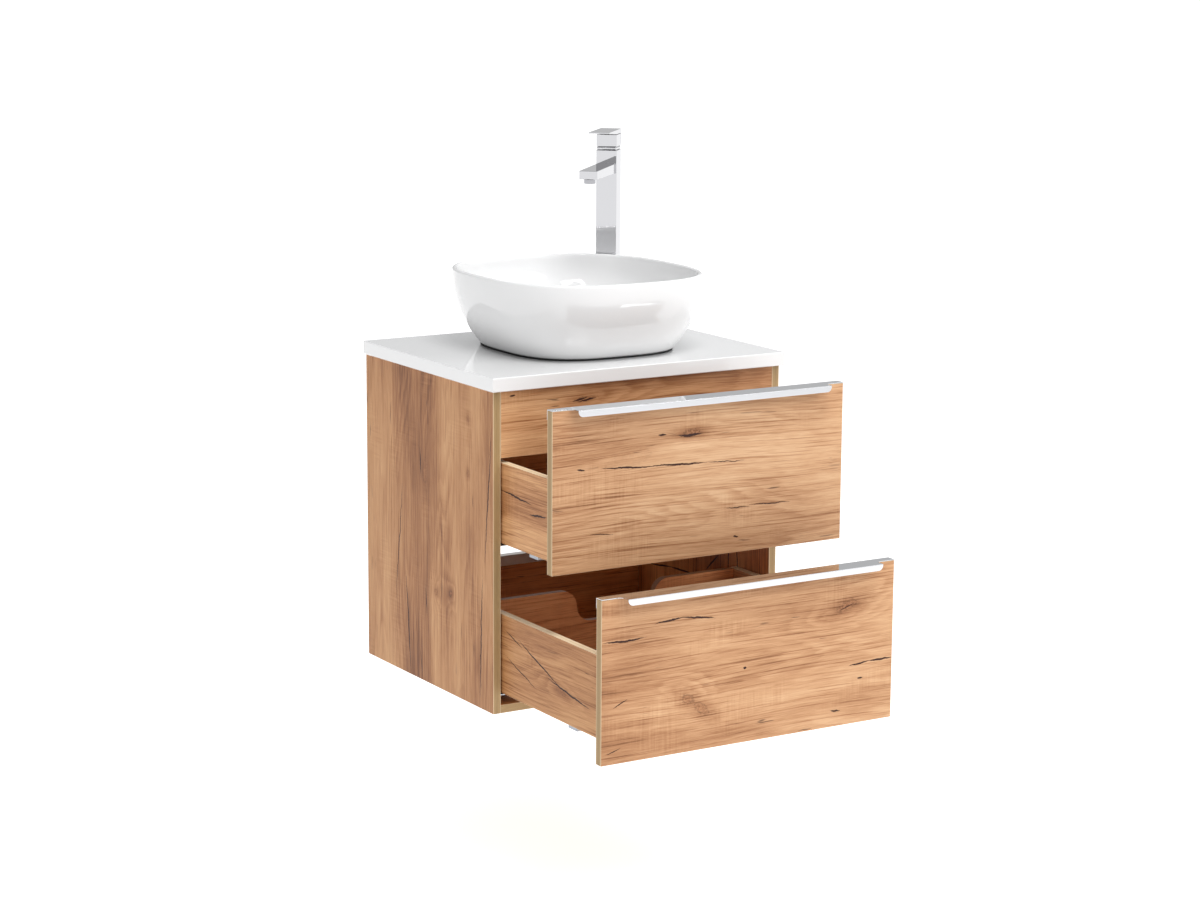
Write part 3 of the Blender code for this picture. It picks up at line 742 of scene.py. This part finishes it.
# ------------------------------------------------------------------ basin, finer than its solid
SLAB_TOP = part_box("countertop")[1].z
BASIN_AT = Vector((0.0090, -0.2470, SLAB_TOP))
RIM_A, RIM_B, RIM_N, BASIN_H = 0.2074, 0.2250, 2.72, 0.1430
FOOT_A, FOOT_B, FOOT_N = 0.1590, 0.1670, 3.0
BULGE, WALL, FLOOR_T, DRAIN_R = 2.2, 0.0085, 0.0180, 0.0240
foot = 0.0034
SEGMENTS = 176


def superellipse(a, b, n):
    points = []
    for i in range(SEGMENTS):
        t = 2 * math.pi * i / SEGMENTS
        c, s = math.cos(t), math.sin(t)
        # spread the points evenly round the corners
        points.append((a * math.copysign(abs(c) ** (2 / n), c), b * math.copysign(abs(s) ** (2 / n), s)))
    return points


def wall_ring(t, set_in=0.0):
    k = (1 - t) ** BULGE
    return (
        RIM_A - (RIM_A - FOOT_A) * k - set_in,
        RIM_B - (RIM_B - FOOT_B) * k - set_in,
        RIM_N + (FOOT_N - RIM_N) * k,
    )


rings = []
for i in range(41):
    t = (i / 40) ** 1.15 * 0.972
    drawn = 0.0010 * max(0.0, 1 - t / 0.02)
    rings.append((*wall_ring(t, drawn), foot + (BASIN_H - foot) * t))
for i in range(1, 12):  # the rim, rounded over
    a = math.pi * i / 12
    half = (WALL - 0.0004) / 2
    rings.append((*wall_ring(1.0, half - half * math.cos(a)), BASIN_H - 0.0039 + 0.0039 * math.sin(a)))
inner_floor = foot + FLOOR_T
for i in range(1, 41):
    t = 0.972 * (1 - i / 40) ** 1.1
    a, b, n_ = wall_ring(max(t, 0.25), WALL)
    k = 1 - 0.30 * (1 - t) ** 3
    rings.append((a * k, b * k, n_, inner_floor + (BASIN_H - 0.004 - inner_floor) * t + 0.0))
low_a, low_b = rings[-1][0], rings[-1][1]
for share, n_, drop in ((0.93, 2.5, 0.00015), (0.84, 2.4, 0.0003), (0.72, 2.3, 0.0007), (0.60, 2.2, 0.0012)):
    rings.append((low_a * share, low_b * share, n_, inner_floor - drop))
drain = inner_floor - 0.0040
for r, drop in ((0.0600, 0.0019), (0.0440, 0.0028), (0.0330, 0.0036), (0.0270, 0.0040), (DRAIN_R, 0.0046)):
    rings.append((r, r, 2.0, inner_floor - drop))
rings.append((DRAIN_R, DRAIN_R, 2.0, foot))
bm = bmesh.new()
rows = [[bm.verts.new((x, y, h)) for x, y in superellipse(a, b, n_)] for a, b, n_, h in rings]
for first, second in zip(rows, rows[1:] + rows[:1]):
    for i in range(SEGMENTS):
        j = (i + 1) % SEGMENTS
        bm.faces.new((first[i], first[j], second[j], second[i]))
basin = show(
    "basin_bowl", bm_mesh(bm, "basin_bowl", angle=60), "carcass", ("basin",), CERAMIC,
    Matrix.Translation(BASIN_AT), flat=False,
)

seal_rings = []
for set_in, height in (
    (0.0006, 0.0003), (0.0001, 0.0009), (0.0000, 0.0018), (0.0001, 0.0026), (0.0006, 0.0032),
    (0.0110, 0.0032), (0.0114, 0.0026), (0.0114, 0.0009), (0.0110, 0.0003),
):
    seal_rings.append([(x, y, height) for x, y in superellipse(FOOT_A - 0.0008 - set_in, FOOT_B - 0.0008 - set_in, FOOT_N)])
bm = bmesh.new()
loops = [[bm.verts.new(co) for co in ring] for ring in seal_rings]
for i, one in enumerate(loops):
    other = loops[(i + 1) % len(loops)]
    for j in range(SEGMENTS):
        k = (j + 1) % SEGMENTS
        bm.faces.new((one[j], one[k], other[k], other[j]))
bmesh.ops.recalc_face_normals(bm, faces=bm.faces)
show(
    "seal_ring", bm_mesh(bm, "seal_ring", angle=60), "carcass", ("basin_gasket",), RUBBER,
    Matrix.Translation(BASIN_AT),
)

# ------------------------------------------------------------------ waste in the basin
WASTE_AT = Matrix.Translation(BASIN_AT + Vector((0, 0, drain)))
plug_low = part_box("waste_plug")[0].z - (SLAB_TOP + drain)
bm = spun(
    [
        (0, 0.0108), (0.006, 0.01075), (0.013, 0.0105), (0.020, 0.0101), (0.0265, 0.0095), (0.0296, 0.0089),
        (0.0308, 0.0080), (0.0310, 0.0074), (0.0304, 0.0067), (0.0290, 0.0061), (0.0200, 0.0060),
        (0.0060, 0.0060), (0.0060, plug_low), (0, plug_low),
    ],
    72,
)
show("waste_plug_cap", bm_mesh(bm, "waste_plug_cap"), "plug", ("waste_plug",), CHROME, WASTE_AT)
flange_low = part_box("waste_flange")[0].z - (SLAB_TOP + drain)
bm = spun(
    [
        (0.0192, 0.0038), (0.0205, 0.0040), (0.0292, 0.0040), (0.0299, 0.0037), (0.0300, 0.0032), (0.0225, 0.0024),
        (0.0222, 0.0006), (0.0222, flange_low), (0.0185, flange_low), (0.0185, 0.0030),
    ],
    72,
    closed=True,
)
show("waste_ring", bm_mesh(bm, "waste_ring"), "carcass", ("waste_flange",), CHROME, WASTE_AT)

# ------------------------------------------------------------------ mixer tap
TAP_AT = Vector((0.1943, -0.0550, SLAB_TOP))
TAP_TURN = math.radians(43.7)
TAP = Matrix.Translation(TAP_AT) @ Matrix.Rotation(-TAP_TURN, 4, "Z")
TAP_HALF = 0.0200
COLUMN_TOP, COLLAR_TOP, HEAD_TOP, LEVER_TOP = 0.3400, 0.3470, 0.3700, 0.3790
SPOUT_TOP, SPOUT_ROOT_T, SPOUT_TIP_T, SPOUT_W, SPOUT_REACH = 0.3150, 0.0195, 0.0160, 0.0345, 0.1780
LEVER_REACH, LEVER_TIP_T = 0.0860, 0.0026


def tap_piece(name, bm, node, body="carcass", material=None, angle=28):
    return show(name, bm_mesh(bm, name, angle=angle), body, (node,), material or CHROME, TAP)


tap_piece("tap_foot", soften(box_bm((-0.024, -0.024, 0.0003), (0.024, 0.024, 0.0045)), 0.0009), "tap_base_plate")
tap_piece(
    "tap_body", soften(box_bm((-TAP_HALF, -TAP_HALF, 0.0048), (TAP_HALF, TAP_HALF, COLUMN_TOP)), 0.0010, 4),
    "tap_column",
)
e = TAP_HALF - 0.0006
collar = box_bm((-e, -e, COLUMN_TOP + 0.0003), (e, e, COLLAR_TOP - 0.0003))
tap_piece("tap_collar_ring", soften(collar, 0.0022, 4), "tap_collar")
e = TAP_HALF - 0.0002
head = box_bm((-e, -TAP_HALF + 0.0002, COLLAR_TOP), (e, TAP_HALF - 0.0052, HEAD_TOP - 0.0002))
tap_piece("tap_head_block", soften(head, 0.0007, 3), "tap_head", "tap_turning_head")
under = HEAD_TOP + 0.0006
lever = [
    (-LEVER_REACH, LEVER_TOP),
    (-LEVER_REACH, LEVER_TOP - LEVER_TIP_T),
    (-TAP_HALF, under),
    (TAP_HALF - 0.0046, under),
    (TAP_HALF - 0.0046, COLLAR_TOP + 0.0004),
    (TAP_HALF - 0.0030, COLLAR_TOP + 0.0004),
    (TAP_HALF + 0.0008, COLLAR_TOP + 0.0060),
    (TAP_HALF + 0.0008, LEVER_TOP),
]
tap_piece("tap_lever_plate", soften(prism(lever, 2 * TAP_HALF), 0.0005, 3, 12), "tap_lever", "tap_lever_body")
root = TAP_HALF + 0.0003
spout = [
    (-SPOUT_REACH, SPOUT_TOP),
    (-SPOUT_REACH, SPOUT_TOP - SPOUT_TIP_T),
    (-root, SPOUT_TOP - SPOUT_ROOT_T),
    (-root, SPOUT_TOP),
]
tap_piece("tap_spout_arm", soften(prism(spout, SPOUT_W), 0.0011, 4), "tap_spout")
a_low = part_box("tap_aerator")[0].z - SLAB_TOP
a_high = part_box("tap_aerator")[1].z - SLAB_TOP
bm = spun(
    [
        (0, a_high), (0.0110, a_high), (0.0110, a_low + 0.0010), (0.0107, a_low + 0.0003), (0.0102, a_low),
        (0.0088, a_low), (0.0085, a_low + 0.0004), (0.0085, a_low + 0.0022), (0, a_low + 0.0022),
    ],
    48,
)
bmesh.ops.translate(bm, vec=(0, -(SPOUT_REACH - 0.0140), 0), verts=bm.verts)
tap_piece("tap_outlet", bm, "tap_aerator", material=AERATOR, angle=35)

# ------------------------------------------------------------------ edge pulls
PULL_T, PULL_OUT, PULL_DROP, PULL_LEG = 0.0015, 0.0205, 0.0100, 0.0180
PULL_HALF, PULL_R, PULL_NOTCH_R = 0.2600, 0.0095, 0.0090
FRONT_W, FRONT_T = 0.5980, 0.0166


def edge_pull(level):
    """The pull as one closed skin: the plate's outline in plan, its outer edge turned down into the lip."""
    low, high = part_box(f"edge_pull_{level}")
    base = high.z - PULL_T  # underside of the plate
    front_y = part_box(f"drawer_front_{level}")[1].y  # rear face of the drawer front
    face = front_y - FRONT_T - 0.0004
    lip = front_y - FRONT_T - PULL_OUT
    # plan view of the plate, half of it, from the middle of the lip to the rear
    steps = 8
    r = PULL_NOTCH_R
    plan = [(PULL_HALF, lip)]
    for i in range(steps + 1):
        a = math.radians(180 - 90 * i / steps)
        plan.append((PULL_HALF + r + r * math.cos(a), face - r + r * math.sin(a)))
    plan.append((FRONT_W / 2, face))
    rear = front_y + 0.0015
    plan.append((FRONT_W / 2, rear))
    full = plan + [(-x, y) for x, y in reversed(plan)]
    bm = prism(full, PULL_T, "Z")
    bmesh.ops.translate(bm, vec=(0, 0, base + PULL_T / 2), verts=bm.verts)
    soften(bm, 0.0004, 2, 40)
    plate_mesh = bm_mesh(bm, "plate", angle=30)
    # the lip, an outline in X and Z with rounded lower corners
    lip_outline = [(PULL_HALF, base + 0.0002)]
    for i in range(13):
        a = math.radians(-90 * i / 12)
        lip_outline.append(
            (PULL_HALF - PULL_R + PULL_R * math.cos(a), base - PULL_DROP + PULL_R + PULL_R * math.sin(a))
        )
    full = lip_outline + [(-x, z_) for x, z_ in reversed(lip_outline)]
    bm = prism(full, PULL_T, "Y")
    bmesh.ops.translate(bm, vec=(0, lip + PULL_T / 2, 0), verts=bm.verts)
    soften(bm, 0.0004, 2, 40)
    lip_mesh = bm_mesh(bm, "lip", angle=30)
    leg = FRONT_W / 2
    bm = box_bm((-leg, front_y + 0.0003, base - PULL_LEG + PULL_T), (leg, front_y + 0.0015, base + 0.0002))
    leg_mesh = bm_mesh(soften(bm, 0.0003, 2), "leg", angle=30)
    objs = []
    for mesh in (plate_mesh, lip_mesh, leg_mesh):
        obj = bpy.data.objects.new("piece", mesh)
        scene.collection.objects.link(obj)
        objs.append(obj)
    base_obj = objs[0]
    for other in objs[1:]:
        boolean = base_obj.modifiers.new("join", "BOOLEAN")
        boolean.operation, boolean.solver, boolean.object = "UNION", "EXACT", other
    bpy.context.view_layer.update()
    mesh = bpy.data.meshes.new_from_object(base_obj.evaluated_get(bpy.context.evaluated_depsgraph_get()))
    for obj in objs:
        bpy.data.objects.remove(obj, do_unlink=True)
    mesh.shade_smooth()
    mesh.set_sharp_from_angle(angle=math.radians(30))
    mesh.materials.clear()
    return show(
        f"pull_profile_{level}", mesh, f"drawer_{level}", (f"edge_pull_{level}",), PULL_CHROME
    )


edge_pull("upper")
edge_pull("lower")

# ------------------------------------------------------------------ floor, light
FLOOR_Z = Z_BASE - 0.30
bm = bmesh.new()
bmesh.ops.create_grid(bm, x_segments=1, y_segments=1, size=300)
mesh = bpy.data.meshes.new("floor")
bm.to_mesh(mesh)
bm.free()
floor = bpy.data.objects.new("floor", mesh)
floor.location.z = FLOOR_Z
scene.collection.objects.link(floor)
n = Nodes("pale_floor")
n.principled(
    Base_Color=(0.90, 0.90, 0.90, 1),
    Roughness=0.85,
    Emission_Color=(1, 1, 1, 1),
    Emission_Strength=0.60,
)
mesh.materials.append(n.material)

world = bpy.data.worlds.new("studio")
scene.world = world
world.use_nodes = True
tree = world.node_tree
tree.nodes.clear()
toward = tree.nodes.new("ShaderNodeTexCoord")
axis = tree.nodes.new("ShaderNodeSeparateXYZ")
tree.links.new(toward.outputs["Generated"], axis.inputs[0])
total = None
for output, gain in zip(axis.outputs, (0.21, -0.15, 0.20)):  # brighter above and towards the front right
    part = tree.nodes.new("ShaderNodeMath")
    part.operation = "MULTIPLY_ADD"
    tree.links.new(output, part.inputs[0])
    part.inputs[1].default_value = gain
    if total is None:
        part.inputs[2].default_value = 0.57
    else:
        tree.links.new(total, part.inputs[2])
    total = part.outputs[0]
back = tree.nodes.new("ShaderNodeBackground")
back.inputs[0].default_value = (0.985, 0.99, 1.0, 1)
tree.links.new(total, back.inputs[1])
out = tree.nodes.new("ShaderNodeOutputWorld")
tree.links.new(back.outputs[0], out.inputs[0])


def area_light(name, at, to, width, height, watts, colour=(1, 1, 1)):
    data = bpy.data.lights.new(name, "AREA")
    data.shape, data.size, data.size_y = "RECTANGLE", width, height
    data.energy, data.color = watts, colour
    obj = bpy.data.objects.new(name, data)
    obj.location = at
    obj.rotation_euler = (Vector(to) - Vector(at)).to_track_quat("-Z", "Y").to_euler()
    scene.collection.objects.link(obj)
    return obj


area_light("key", (2.4, -3.4, 2.6), (0, -0.4, -0.1), 1.6, 1.6, 62)
area_light("overhead", (-0.2, -1.6, 3.0), (0, -0.4, 0), 1.4, 1.0, 62)
